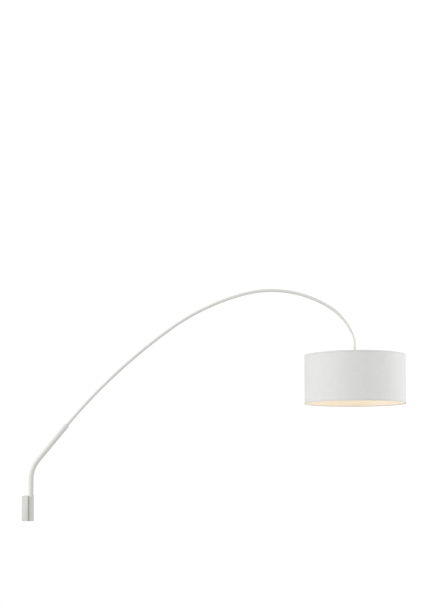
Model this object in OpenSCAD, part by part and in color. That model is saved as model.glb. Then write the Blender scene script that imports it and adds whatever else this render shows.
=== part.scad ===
// Wall-mounted arc lamp. A small wall bracket holds a swivelling bent tube, which carries
// a long bowed rod and a drum shade.
// Origin: centre of the wall plate's back face. +X leaves the wall, +Z is up.

/* [Wall bracket] */
// Width of the housing across the wall
housing_w = 60; // [58:1:80]
// Height of the housing, with the swivel sleeve in it
housing_h = 126; // [122:1:160]
// Distance from the wall to the front of the housing
housing_front = 29.5; // [29:0.5:31]
// Thickness of the housing's walls
housing_wall = 3; // [2:0.5:3]
// Radius of the housing's upright front edges
housing_edge_r = 3; // [1:0.5:4]
// Thickness of the wall plate
plate_t = 8; // [6:0.5:8]
// How far the wall plate's outline stays inside the housing's
plate_inset = 2; // [1:0.5:3]
// Distance between the two wall screw holes
wall_hole_gap = 84; // [70:1:88]
// Diameter of the wall screw holes
wall_hole_d = 6.5; // [4:0.5:8]
// Bore of the cable grommet
grommet_bore_d = 10; // [6:1:11]

/* [Swivel] */
// Distance from the wall to the swivel axis
axis_x = 40; // [39.5:0.5:41]
// Outer diameter of the swivel sleeve
sleeve_d = 30; // [29.5:0.5:31]
// Wall thickness of the swivel sleeve
sleeve_wall = 1.5; // [1:0.5:1.5]
// Furthest swing of the arm to either side, in degrees
swing = 80; // [10:1:80]

/* [Lower tube] */
// Outer diameter of the lower tube
tube_d = 25; // [24.5:0.5:25]
// Wall thickness of the lower tube
tube_wall = 1.5; // [1:0.5:2]
// Straight rise of the tube above the bracket
tube_rise = 81; // [20:1:200]
// Radius of the tube's bend
tube_bend_r = 150; // [60:5:300]
// Angle that the tube bends away from upright
tube_bend = 39.5; // [20:0.5:60]
// Straight reach of the tube after its bend
tube_reach = 214; // [120:1:400]

/* [Arc rod] */
// Outer diameter of the rod
rod_d = 15; // [14:0.5:16]
// Outer diameter of the rod after its first narrowing
rod_neck_d = 12.5; // [11.5:0.5:13.5]
// Outer diameter of the rod's threaded tip
rod_tip_d = 10; // [10:0.5:11]
// Wall thickness of the rod
rod_wall = 1.5; // [1:0.25:1.5]
// Length of rod held inside the lower tube
rod_insert = 80; // [60:5:100]
// Length of each narrowing
narrowing = 20; // [10:1:40]
// Radius of the long first bend
first_bend_r = 2800; // [1500:50:4000]
// Turn of the long first bend, in degrees
first_bend = 14.5; // [8:0.5:20]
// Radius of the rising bend
rise_bend_r = 1130; // [700:10:1600]
// Turn of the rising bend, in degrees
rise_bend = 20.5; // [12:0.5:24]
// Radius of the crown bend
crown_bend_r = 540; // [400:10:800]
// Turn of the crown bend, in degrees
crown_bend = 49; // [40:0.5:54]
// Radius of the falling bend
fall_bend_r = 230; // [180:5:350]
// Turn of the falling bend, in degrees
fall_bend = 30; // [24:0.5:36]
// Radius of the last bend, which brings the tip upright
tip_bend_r = 135; // [80:5:200]
// Straight length of the tip below the last bend
tip_tail = 38; // [36:1:60]

/* [Shade] */
// Outer diameter of the shade's cover
shade_d = 500; // [300:10:600]
// Height of the shade
shade_h = 240; // [180:5:320]
// Drop from the end of the last bend to the shade's top rim
shade_drop = 53; // [50:1:70]
// Thickness of the fabric cover
cover_t = 0.8; // [0.6:0.1:1]
// Thickness of the stiff liner
liner_t = 1; // [0.8:0.1:1.2]
// Diameter of the shade's ring and spoke wires
wire_d = 4; // [3:0.5:5]
// Height of the rim tapes
tape_h = 8; // [5:1:15]

/* [Bulb] */
// Diameter of the bulb's globe
globe_d = 60; // [55:1:65]

/* [Hidden] */

$fn = 64;
bend_fn = 360;
hair = 0.2;
lap = 0.5;

paint = "#dcdcd6";
fabric = "#e4e4e0";
liner_white = "#f3e6cc";
steel = "#b8bcc0";
brass = "#c9a24a";
polymer = "#e9e6dc";
black = "#2b2b2b";
ceramic = "#efeee8";

// ---- bracket levels and fits ----
top_z = housing_h / 2;
end_cap_t = 1.5;
saddle_w = 28;
saddle_back = 22;
plate_corner_r = 4;
grommet_d = 16;
grommet_z = 10;
grommet_flange_t = 1.5;
countersink_d = 12;
countersink_h = 3;
lug_w = 14;
lug_depth = 10;
lug_h = 9.5;
lug_y = 19;
screw_d = 4;
screw_head_d = 7;
screw_head_h = 2;
screw_len = 10;
running_gap = 0.05;
bush_len = 20;
foot_gap = 0.3;
foot_z = -top_z + 25;
lower_bush_z = foot_z - 10;
cable_way_d = 18;
pin_d = 4;
pin_z = foot_z + 18;
pin_reach = 10.2;
window_gap = 0.6;
window_spare = 13;
pad_d = 6;
pad_z = 20;
pad_len = 3;
lead_d = 2.4;
lead_gap = 1.5;
lead_bend_r = 8;
lead_hole_d = 7;
lead_z = foot_z - 14;
block_size = [12, 24, 16];
block_z = -22;
block_pitch = 7.5;
clamp_d = 4;

bush_bore = tube_d + 2 * running_gap;
sleeve_bore = sleeve_d - 2 * sleeve_wall;
tube_bore = tube_d - 2 * tube_wall;
cavity_front = housing_front - housing_wall;
block_x = plate_t + block_size.x / 2;

// ---- lampholder and bulb levels, measured from the shade's top rim ----
collar_z = 34;
collar_h = 12;
collar_d = 14;
cap_top = 28;
cap_seat = -6;
boss_h = 10;
flange_z = -8;
hub_t = 2;
hub_d = 54;
clamp_h = 6;
body_end = -54;
body_d = 38;
body_bore = 31;
insert_bottom = -18;
contact_bottom = -19.5;
shell_d = 27.8;
cap_shell_d = 26.2;
cap_bottom = -46;
grub_d = 4;
cable_d = 5.4;
thread_d = rod_tip_d - hair;
ring_inset = cover_t + liner_t + wire_d / 2;

// ---- routes in the XZ plane: a pose is [x, z, heading], heading measured from +X ----
// A straight step is [0, length]. A bend is [radius, turn], and a positive turn goes
// from upright towards +X and on downwards.
function step_end(p, s) =
    s[0] == 0
        ? [p.x + s[1] * cos(p.z), p.y + s[1] * sin(p.z), p.z]
        : let (side = sign(s[1]), after = p.z - s[1])
          [p.x + side * s[0] * (sin(p.z) - sin(after)),
           p.y - side * s[0] * (cos(p.z) - cos(after)), after];

function route(p, steps, i = 0) =
    i == len(steps) ? [p] : concat([p], route(step_end(p, steps[i]), steps, i + 1));

function route_end(p, steps) = route(p, steps)[len(steps)];

tube_steps = [[0, top_z + tube_rise - foot_z], [tube_bend_r, tube_bend], [0, tube_reach]];
rod_steps = [
    [first_bend_r, first_bend], [rise_bend_r, rise_bend],
    [crown_bend_r, crown_bend], [fall_bend_r, fall_bend / 2],
];
neck_steps = [[fall_bend_r, fall_bend / 2]];
tip_turn = 180 - tube_bend - first_bend - rise_bend - crown_bend - fall_bend;
tip_steps = [[tip_bend_r, tip_turn], [0, tip_tail]];

foot = [axis_x, foot_z, 90];
tube_end = route_end(foot, tube_steps);
rod_start = step_end(tube_end, [0, -rod_insert]);
neck_taper = route_end(tube_end, rod_steps);
neck_start = step_end(neck_taper, [0, narrowing]);
tip_taper = route_end(neck_start, neck_steps);
tip_start = step_end(tip_taper, [0, narrowing]);
hang = route_end(tip_start, [tip_steps[0]]);
shade_x = hang.x;
rim_z = hang.y - shade_drop;

// ---- shared shapes ----
module rounded_rect(w, h, r) {
    square([w - 2 * r, h], center = true);
    square([w, h - 2 * r], center = true);
    for (sx = [-1, 1], sy = [-1, 1])
        translate([sx * (w / 2 - r), sy * (h / 2 - r)]) circle(r);
}

module ring_section(outer_d, inner_d) {
    difference() {
        circle(d = outer_d);
        if (inner_d > 0) circle(d = inner_d);
    }
}

module at_pose(p) {
    translate([p.x, 0, p.y]) rotate([0, 90 - p.z, 0]) children();
}

module along_x(x, y, z) {
    translate([x, y, z]) rotate([0, 90, 0]) children();
}

// One straight or bent step of a round tube; an inner diameter of 0 makes it solid.
// lap lengthens the step at both ends.
module tube_step(p, s, outer_d, inner_d, lap) {
    if (s[0] == 0) {
        at_pose(p) translate([0, 0, -lap]) linear_extrude(s[1] + 2 * lap)
            ring_section(outer_d, inner_d);
    } else {
        side = sign(s[1]);
        lap_turn = lap / s[0] * 180 / PI;
        from = p.z + 90 * side - max(s[1], 0) - lap_turn;
        translate([p.x + side * s[0] * sin(p.z), 0, p.y - side * s[0] * cos(p.z)])
            rotate([90, 0, 0]) rotate(from)
                rotate_extrude(angle = abs(s[1]) + 2 * lap_turn, $fn = bend_fn)
                    translate([s[0], 0]) ring_section(outer_d, inner_d, $fn = 48);
    }
}

// Every second step has a slightly thinner wall and laps into its neighbours, so that all
// the steps join as one solid. slim_first is 1 where the first step is a thinner one.
module tube_run(p, steps, outer_d, inner_d = 0, slim_first = 0) {
    poses = route(p, steps);
    for (i = [0 : len(steps) - 1]) {
        slim = (i + slim_first) % 2;
        tube_step(poses[i], steps[i], outer_d - slim * hair,
            inner_d == 0 ? 0 : inner_d + slim * hair, slim * lap);
    }
}

// A narrowing, with a short straight foot that laps into the tube at each end
module tube_taper(p, len, from_d, to_d, wall) {
    from_r = (from_d - hair) / 2;
    to_r = (to_d - hair) / 2;
    t = wall - hair;
    at_pose(p) rotate_extrude() polygon([
        [from_r - t, -lap], [from_r, -lap], [from_r, 0], [to_r, len], [to_r, len + lap],
        [to_r - t, len + lap], [to_r - t, len], [from_r - t, 0],
    ]);
}

module hollow(outer_d, inner_d, z0, z1) {
    translate([0, 0, z0]) linear_extrude(z1 - z0) ring_section(outer_d, inner_d);
}

// Countersunk screw: head flush at z = 0, shank downwards
module flush_screw(len) {
    translate([0, 0, -screw_head_h])
        cylinder(h = screw_head_h, d1 = screw_d, d2 = screw_head_d);
    translate([0, 0, -len]) cylinder(h = len - screw_head_h, d = screw_d);
}

module at_housing_screws() {
    for (end = [0, 1], y = [-lug_y, lug_y])
        mirror([0, 0, end]) translate([plate_t + lug_depth / 2, y, top_z]) children();
}

module on_swivel() {
    translate([axis_x, 0, 0]) children();
}

module on_holder() {
    translate([shade_x, 0, rim_z]) children();
}

// ---- wall bracket ----
module wall_plate() {
    plate_w = housing_w - 2 * plate_inset;
    plate_h = housing_h - 2 * plate_inset;
    lug_top = top_z - housing_wall;
    color(paint) difference() {
        union() {
            rotate([90, 0, 90]) linear_extrude(plate_t)
                rounded_rect(plate_w, plate_h, plate_corner_r);
            for (end = [0, 1], y = [-lug_y, lug_y])
                mirror([0, 0, end])
                    translate([plate_t - 1, y - lug_w / 2, lug_top - lug_h])
                        cube([lug_depth + 1, lug_w, lug_h]);
        }
        for (z = [-1, 1] * wall_hole_gap / 2) {
            along_x(-1, 0, z) cylinder(h = plate_t + 2, d = wall_hole_d);
            along_x(plate_t - countersink_h, 0, z)
                cylinder(h = countersink_h + 0.01, d1 = wall_hole_d, d2 = countersink_d);
        }
        along_x(-1, 0, grommet_z) cylinder(h = plate_t + 2, d = grommet_d);
        along_x(plate_t - 5, -lug_y, 0) cylinder(h = 6, d = screw_d);
        along_x(plate_t - 5, block_pitch / 2, block_z) cylinder(h = 6, d = 3);
        at_housing_screws() flush_screw(screw_len);
    }
}

module cable_grommet() {
    color(black) along_x(0, 0, grommet_z) {
        hollow(grommet_d, grommet_bore_d, 0, plate_t);
        hollow(grommet_d + 4, grommet_bore_d, plate_t, plate_t + grommet_flange_t);
    }
}

module earth_screw() {
    color(brass) along_x(0, -lug_y, 0) {
        translate([0, 0, plate_t - 5]) cylinder(h = 5, d = screw_d);
        difference() {
            translate([0, 0, plate_t]) cylinder(h = 2.6, d = 7.6);
            translate([-4, -0.5, plate_t + 1.6]) cube([8, 1, 2]);
        }
    }
}

module housing_outline() {
    flat_w = housing_w - 2 * housing_edge_r;
    translate([plate_t, -housing_w / 2])
        square([housing_front - plate_t - housing_edge_r, housing_w]);
    translate([plate_t, -flat_w / 2]) square([housing_front - plate_t, flat_w]);
    for (side = [-1, 1])
        translate([housing_front - housing_edge_r, side * flat_w / 2]) circle(housing_edge_r);
}

module bracket_housing() {
    cavity_w = housing_w - 2 * housing_wall;
    cavity_h = housing_h - 2 * housing_wall;
    color(paint) difference() {
        translate([0, 0, -top_z]) linear_extrude(housing_h) housing_outline();
        difference() {
            translate([plate_t - 1, -cavity_w / 2, -cavity_h / 2])
                cube([cavity_front - plate_t + 1, cavity_w, cavity_h]);
            translate([saddle_back, -saddle_w / 2, -top_z])
                cube([housing_front, saddle_w, housing_h]);
        }
        on_swivel() translate([0, 0, -top_z - 1]) cylinder(h = housing_h + 2, d = sleeve_d);
        along_x(saddle_back - 1, 0, pad_z) cylinder(h = 10, d = pad_d);
        along_x(saddle_back - 1, 0, lead_z) cylinder(h = 10, d = lead_hole_d);
        at_housing_screws() flush_screw(screw_len);
    }
}

module housing_screws() {
    color(steel) at_housing_screws() difference() {
        flush_screw(screw_len);
        translate([0, 0, -1.4]) cylinder(h = 2, d = 2.4, $fn = 6);
    }
}

// ---- swivel ----
module swivel_sleeve() {
    color(paint) difference() {
        on_swivel() hollow(sleeve_d, sleeve_bore, -top_z + end_cap_t, top_z);
        for (hole = [[pad_d, pad_z], [lead_hole_d, lead_z], [pin_d, pin_z]])
            along_x(axis_x - sleeve_d / 2 - 1, 0, hole[1]) cylinder(h = 6, d = hole[0]);
    }
}

module upper_bush() {
    color(polymer) on_swivel() {
        hollow(sleeve_bore, bush_bore, top_z - bush_len, top_z);
        hollow(sleeve_d, bush_bore, top_z, top_z + 1.5);
    }
}

module lower_bush() {
    seat_z = foot_z - foot_gap;
    color(polymer) on_swivel() {
        hollow(sleeve_bore, bush_bore, seat_z, lower_bush_z + bush_len);
        hollow(sleeve_bore, cable_way_d, lower_bush_z, seat_z);
    }
}

module sleeve_end_cap() {
    color(paint) on_swivel() translate([0, 0, -top_z]) {
        cylinder(h = end_cap_t, d = sleeve_d);
        hollow(sleeve_bore, sleeve_bore - 4, end_cap_t, end_cap_t + 4.5);
    }
}

module stop_pin() {
    sink = 0.2;
    color(steel) along_x(axis_x - sleeve_d / 2 + sink, 0, pin_z)
        cylinder(h = sleeve_d / 2 - pin_reach - sink, d = pin_d);
}

module friction_pad() {
    tip_x = axis_x - tube_d / 2 - running_gap;
    color(polymer) along_x(tip_x - pad_len, 0, pad_z) cylinder(h = pad_len, d = pad_d);
}

module friction_screw() {
    tip_x = axis_x - tube_d / 2 - running_gap - pad_len;
    color(steel) along_x(tip_x - 5.5, 0, pad_z) difference() {
        cylinder(h = 5.5, d = pad_d);
        translate([0, 0, -1]) cylinder(h = 3.5, d = 3.4, $fn = 6);
    }
}

// ---- wiring in the bracket ----
module at_terminals() {
    for (y = [-1, 0, 1] * block_pitch) translate([block_x, y, block_z]) children();
}

module terminal_block() {
    color(polymer) difference() {
        translate([plate_t, -block_size.y / 2, block_z - block_size.z / 2]) cube(block_size);
        at_terminals() cylinder(h = block_size.z + 2, d = clamp_d, center = true);
        at_terminals() for (z = [-4, 4])
            translate([0, 0, z]) rotate([0, 90, 0]) cylinder(h = block_size.x, d = 3);
        along_x(plate_t - 1, block_pitch / 2, block_z) cylinder(h = block_size.x + 2, d = 3);
    }
}

module terminal_clamps() {
    color(brass) at_terminals() difference() {
        cylinder(h = block_size.z - 3, d = clamp_d, center = true);
        cylinder(h = block_size.z, d = lead_d, center = true);
        for (z = [-4, 4]) translate([0, 0, z]) rotate([0, 90, 0]) cylinder(h = 8, d = 2);
    }
}

module terminal_screws() {
    color(steel) at_terminals() for (z = [-4, 4]) translate([0, 0, z]) rotate([0, 90, 0])
        translate([0, 0, clamp_d / 2]) cylinder(h = 3, d = 3);
}

module terminal_block_screw() {
    color(steel) along_x(plate_t - 5, block_pitch / 2, block_z)
        cylinder(h = block_size.x + 3, d = 3);
}

// Each lead leaves an outer terminal, draws in beside the other below the block, and then
// runs level and up into the sleeve
module bracket_leads() {
    start = [block_pitch, block_z + 2, -90];
    swerve = acos(1 - (block_pitch - lead_gap) / (2 * lead_bend_r));
    draw_in = [
        [0, block_size.z / 2 + 2.5], [lead_bend_r, swerve], [lead_bend_r, -swerve],
    ];
    low = route_end(start, draw_in);
    level = axis_x - block_x - 2 * lead_bend_r;
    to_sleeve = [
        [0, low.y - lead_z - lead_bend_r], [lead_bend_r, -90], [0, level],
        [lead_bend_r, -90],
    ];
    color(black) for (side = [0, 1]) mirror([0, side, 0]) {
        translate([block_x, 0, 0]) rotate(90) tube_run(start, draw_in, lead_d);
        translate([0, lead_gap, 0])
            tube_run([block_x, low.y, -90], to_sleeve, lead_d, slim_first = 1);
    }
}

// ---- lower tube and the joint with the rod ----
module at_socket_screws() {
    at_pose(tube_end) for (z = [-22, -10]) translate([0, 0, z]) rotate([0, 90, 0]) children();
}

module lower_tube() {
    half_window = swing + window_spare;
    color(paint) difference() {
        tube_run(foot, tube_steps, tube_d, tube_bore);
        on_swivel() translate([0, 0, pin_z - pin_d / 2 - window_gap])
            rotate(180 - half_window) rotate_extrude(angle = 2 * half_window)
                translate([tube_bore / 2 - 1, 0])
                    square([tube_wall + 2, pin_d + 2 * window_gap]);
        at_socket_screws() translate([0, 0, rod_d / 2]) cylinder(h = 10, d = grub_d);
    }
}

module rod_ferrule() {
    shoulder_r = (tube_d - rod_d) / 2 - 1;
    color(paint) difference() {
        at_pose(tube_end) rotate_extrude() difference() {
            union() {
                translate([0, -30]) square([tube_bore / 2, 30]);
                square([tube_d / 2, 6]);
                square([tube_d / 2 - shoulder_r, 6 + shoulder_r]);
                translate([tube_d / 2 - shoulder_r, 6]) circle(shoulder_r);
            }
            translate([-1, -31]) square([rod_d / 2 + 1, 60]);
        }
        at_socket_screws() translate([0, 0, rod_d / 2 - 1]) cylinder(h = 10, d = grub_d);
    }
}

module rod_guide() {
    color(polymer) at_pose(rod_start) hollow(tube_bore, rod_d, 2, 18);
}

module socket_screws() {
    len = (tube_d - rod_d) / 2 - 0.3;
    color(steel) at_socket_screws() translate([0, 0, rod_d / 2]) difference() {
        cylinder(h = len, d = grub_d);
        translate([0, 0, len - 2]) cylinder(h = 3, d = 2.3, $fn = 6);
    }
}

// ---- rod and cable ----
module arc_rod() {
    bore = 2 * rod_wall;
    color(paint) {
        tube_run(rod_start, concat([[0, rod_insert]], rod_steps), rod_d, rod_d - bore);
        tube_taper(neck_taper, narrowing, rod_d, rod_neck_d, rod_wall);
        tube_run(neck_start, neck_steps, rod_neck_d, rod_neck_d - bore);
        tube_taper(tip_taper, narrowing, rod_neck_d, rod_tip_d, rod_wall);
        tube_run(tip_start, tip_steps, rod_tip_d, rod_tip_d - bore);
    }
}

module arm_cable() {
    start = [axis_x, lead_z + lead_bend_r + foot_gap, 90];
    rise = top_z + tube_rise - start.y;
    steps = concat(
        [[0, rise], tube_steps[1], tube_steps[2]], rod_steps, [[0, narrowing]],
        neck_steps, [[0, narrowing]], [tip_steps[0]], [[0, shade_drop - lap]]
    );
    color(black) tube_run(start, steps, cable_d);
}

// ---- lampholder ----
module tip_collar() {
    color(paint) on_holder() difference() {
        rotate_extrude() polygon([
            [thread_d / 2, collar_z], [collar_d / 2 - 1, collar_z],
            [collar_d / 2, collar_z + 1], [collar_d / 2, collar_z + collar_h - 1],
            [collar_d / 2 - 1, collar_z + collar_h], [thread_d / 2, collar_z + collar_h],
        ]);
        translate([0, 0, collar_z + collar_h / 2]) rotate([0, -90, 0])
            cylinder(h = 10, d = 3);
    }
}

module collar_screw() {
    color(steel) on_holder() translate([-thread_d / 2, 0, collar_z + collar_h / 2])
        rotate([0, -90, 0]) cylinder(h = (collar_d - thread_d) / 2 - 0.2, d = 3);
}

module holder_cap() {
    skirt_r = body_d / 2 + 1;
    boss_r = 9;
    wall = 2;
    color(polymer) on_holder() difference() {
        rotate_extrude() polygon([
            [thread_d / 2, cap_top], [boss_r, cap_top], [boss_r, cap_top - boss_h + 2],
            [skirt_r, 10], [skirt_r, cap_seat], [skirt_r - wall, cap_seat],
            [skirt_r - wall, 9], [boss_r - 1, cap_top - boss_h],
            [thread_d / 2, cap_top - boss_h],
        ]);
        translate([0, 0, cap_top - 4]) rotate([0, -90, 0]) cylinder(h = 12, d = grub_d);
    }
}

module cap_lock_screw() {
    color(steel) on_holder() translate([-thread_d / 2, 0, cap_top - 4])
        rotate([0, -90, 0]) cylinder(h = 3.8, d = grub_d);
}

module tip_nut() {
    color(brass) on_holder() translate([0, 0, cap_top - boss_h - 4]) difference() {
        cylinder(h = 4, d = 16, $fn = 6);
        translate([0, 0, -1]) cylinder(h = 6, d = thread_d);
    }
}

module holder_body() {
    color(polymer) on_holder() {
        hollow(body_d - 2, body_bore, cap_seat, 4);
        hollow(body_d + 6, body_bore, flange_z, cap_seat);
        hollow(body_d, body_bore, body_end, flange_z);
    }
}

module contact_insert() {
    color(ceramic) on_holder() difference() {
        translate([0, 0, insert_bottom]) cylinder(h = -insert_bottom, d = body_bore);
        translate([0, 0, insert_bottom - 1]) cylinder(h = 30, d = 3);
        for (x = [-10, 10]) translate([x, 0, -6]) cylinder(h = 10, d = 3);
    }
}

module centre_contact() {
    color(brass) on_holder() {
        translate([0, 0, insert_bottom]) cylinder(h = -insert_bottom, d = 3);
        translate([0, 0, contact_bottom])
            cylinder(h = insert_bottom - contact_bottom, d = 8);
    }
}

module contact_shell() {
    color(brass) on_holder() {
        hollow(shell_d, 14, insert_bottom - 1, insert_bottom);
        hollow(shell_d, cap_shell_d + 0.2, cap_bottom, insert_bottom - 1);
    }
}

module holder_terminal_screws() {
    color(brass) on_holder() for (x = [-10, 10]) translate([x, 0, 0]) {
        translate([0, 0, -6]) cylinder(h = 6, d = 3);
        cylinder(h = 2.4, d = 5.6);
    }
}

module shade_clamp_ring() {
    color(polymer) on_holder()
        hollow(hub_d - 2, body_d, flange_z - hub_t - clamp_h, flange_z - hub_t);
}

// ---- shade ----
module shade_ring(z) {
    color(steel) on_holder() translate([0, 0, z]) rotate_extrude($fn = bend_fn)
        translate([shade_d / 2 - ring_inset, 0]) circle(d = wire_d, $fn = 24);
}

module shade_spider() {
    ring_r = shade_d / 2 - ring_inset;
    hub_r = hub_d / 2 - 1;
    hub_z = flange_z - hub_t / 2;
    ring_z = -wire_d / 2 - 1;
    reach = ring_r - wire_d / 2 - hub_r;
    rise = atan2(ring_z - hub_z, reach);
    color(steel) on_holder() {
        hollow(hub_d, body_d + 1, flange_z - hub_t, flange_z);
        for (a = [0, 120, 240]) rotate(a) translate([hub_r, 0, hub_z])
            rotate([0, 90 - rise, 0]) cylinder(h = reach / cos(rise), d = wire_d - 0.5);
    }
}

module shade_top_ring() {
    shade_ring(-wire_d / 2 - 1);
}

module shade_bottom_ring() {
    shade_ring(-shade_h + wire_d / 2 + 1);
}

module shade_wall(outer_d, t, z0, z1) {
    translate([0, 0, z0]) linear_extrude(z1 - z0)
        ring_section(outer_d, outer_d - 2 * t, $fn = bend_fn / 2);
}

module shade_liner() {
    color(liner_white) on_holder() shade_wall(shade_d - 2 * cover_t, liner_t, -shade_h, 0);
}

module shade_cover() {
    color(fabric) on_holder() shade_wall(shade_d, cover_t, -shade_h, 0);
}

module shade_seam() {
    seam_w = 12;
    turn = seam_w / (PI * shade_d) * 360;
    color(fabric) on_holder() rotate(90 - turn / 2)
        rotate_extrude(angle = turn, $fn = bend_fn)
            translate([shade_d / 2, tape_h - shade_h]) square([0.5, shade_h - 2 * tape_h]);
}

// Tape folded over a rim: a band outside the cover and a strip over the edge
module rim_tape() {
    tape_t = 0.6;
    color(fabric) {
        shade_wall(shade_d + 2 * tape_t, tape_t, -tape_h, tape_t);
        shade_wall(shade_d, cover_t + liner_t, 0, tape_t);
    }
}

module shade_top_tape() {
    on_holder() rim_tape();
}

module shade_bottom_tape() {
    on_holder() translate([0, 0, -shade_h]) mirror([0, 0, 1]) rim_tape();
}

// ---- bulb ----
module bulb_cap() {
    color(steel) on_holder() {
        hollow(cap_shell_d, cap_shell_d - 1, cap_bottom, -25);
        translate([0, 0, -25]) rotate_extrude() polygon([
            [5, 0], [cap_shell_d / 2, 0], [10, 2], [5, 2],
        ]);
    }
}

module bulb_contact() {
    color(black) on_holder() translate([0, 0, -25]) cylinder(h = 2, d = 10);
    color(brass) on_holder() translate([0, 0, -23])
        cylinder(h = contact_bottom + 23, d1 = 9, d2 = 6);
}

globe_z = contact_bottom - 108 + globe_d / 2;
neck_z = globe_z + 18;

module bulb_body() {
    rim_r = sqrt(pow(globe_d / 2, 2) - pow(neck_z - globe_z, 2));
    collar_r = cap_shell_d / 2 + 1;
    flare_z = body_end - 2;
    wall = 1.5;
    color(polymer) on_holder() rotate_extrude() polygon([
        [cap_shell_d / 2, cap_bottom], [collar_r, cap_bottom - 2], [collar_r, flare_z],
        [rim_r, neck_z], [rim_r - wall, neck_z], [collar_r - wall, flare_z],
        [collar_r - wall, cap_bottom],
    ]);
}

module bulb_globe() {
    wall = 1.5;
    color(ceramic) on_holder() difference() {
        translate([0, 0, globe_z]) sphere(d = globe_d);
        translate([0, 0, globe_z]) sphere(d = globe_d - 2 * wall);
        translate([-globe_d, -globe_d, neck_z]) cube([2 * globe_d, 2 * globe_d, globe_d]);
    }
}

wall_plate();
cable_grommet();
earth_screw();
bracket_housing();
housing_screws();
swivel_sleeve();
upper_bush();
lower_bush();
sleeve_end_cap();
stop_pin();
friction_pad();
friction_screw();
terminal_block();
terminal_clamps();
terminal_screws();
terminal_block_screw();
bracket_leads();
lower_tube();
rod_ferrule();
rod_guide();
socket_screws();
arc_rod();
arm_cable();
tip_collar();
collar_screw();
holder_cap();
cap_lock_screw();
tip_nut();
holder_body();
contact_insert();
centre_contact();
contact_shell();
holder_terminal_screws();
shade_clamp_ring();
shade_spider();
shade_top_ring();
shade_bottom_ring();
shade_liner();
shade_cover();
shade_seam();
shade_top_tape();
shade_bottom_tape();
bulb_cap();
bulb_contact();
bulb_body();
bulb_globe();
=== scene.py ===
import math

import bmesh
import bpy
import numpy as np
from mathutils import Matrix, Vector


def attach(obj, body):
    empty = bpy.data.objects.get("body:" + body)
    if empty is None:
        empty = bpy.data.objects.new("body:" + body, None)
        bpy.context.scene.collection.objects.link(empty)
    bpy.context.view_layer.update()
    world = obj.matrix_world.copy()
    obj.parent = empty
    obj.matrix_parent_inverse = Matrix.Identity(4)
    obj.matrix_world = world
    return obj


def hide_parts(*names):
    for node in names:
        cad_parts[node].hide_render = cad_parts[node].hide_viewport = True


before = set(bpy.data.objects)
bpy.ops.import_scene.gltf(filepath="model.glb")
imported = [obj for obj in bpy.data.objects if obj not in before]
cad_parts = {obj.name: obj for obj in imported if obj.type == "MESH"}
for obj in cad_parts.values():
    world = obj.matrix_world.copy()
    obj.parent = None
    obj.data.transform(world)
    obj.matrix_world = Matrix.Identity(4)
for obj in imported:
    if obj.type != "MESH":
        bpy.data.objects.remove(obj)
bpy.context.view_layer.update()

MM = 0.001

# ---------------------------------------------------------------- sizes, in millimetres
HOUSING_W, HOUSING_H, HOUSING_FRONT, SHELL_T = 60.0, 126.0, 29.5, 3.0
TOP = HOUSING_H / 2
PLATE_W, PLATE_H, PLATE_T = 56.0, 122.0, 8.0
LUG_W, LUG_L, LUG_T = 14.0, 10.0, 9.5
WALL_HOLE_Z, CABLE_HOLE_Z, CABLE_HOLE_R = 42.0, 10.0, 8.0
AXIS_X, SLEEVE_R, SLEEVE_BORE, SLEEVE_CAP_T = 40.0, 15.0, 13.5, 1.5
BUSH_BORE, BUSH_H = 12.55, 20.0
FOOT_Z, PIN_Z, PAD_Z, LEAD_Z = -38.0, -20.0, 20.0, -52.0
PIN_HOLE_R, PAD_HOLE_R, LEAD_HOLE_R = 2.02, 3.02, 3.5
SCREW_Y, SCREW_X = 19.0, 13.0
SCREW_CORNERS = [(end, y) for end in (-1, 1) for y in (-SCREW_Y, SCREW_Y)]
TUBE_R, TUBE_BORE = 12.5, 11.0
SOCKET_SCREWS, SOCKET_HOLE_R = (-22.0, -10.0), 2.02
ROD_R, NECK_R, TIP_R, ROD_WALL, THREAD_R = 7.5, 6.25, 5.0, 1.5, 4.9
ROD_INSERT, NARROWING, TAIL = 80.0, 20.0, 38.0
HOLDER_R, HOLDER_CAP_R, CLAMP_R = 19.0, 20.0, 26.0
SHADE_R, SHADE_H, SHADE_DROP = 250.0, 240.0, 53.0
COVER_T, LINER_T, WIRE_R, TAPE_H, TAPE_T = 0.8, 1.0, 2.0, 8.0, 0.6
RING_R = SHADE_R - COVER_T - LINER_T - WIRE_R
SEAM_W = 12.0
GLOBE_R, GLOBE_Z, GLOBE_T, GLOBE_NECK = 30.0, -97.5, 1.5, 18.0

# a step is (0, length) or (bend radius, turn in degrees), as in the CAD source
TUBE_STEPS = [(0, TOP + 81 - FOOT_Z), (150, 39.5), (0, 214)]
ROD_STEPS = [(2800, 14.5), (1130, 20.5), (540, 49), (230, 15)]
NECK_STEPS = [(230, 15)]
TIP_STEPS = [(135, 26.5), (0, TAIL)]


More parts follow.
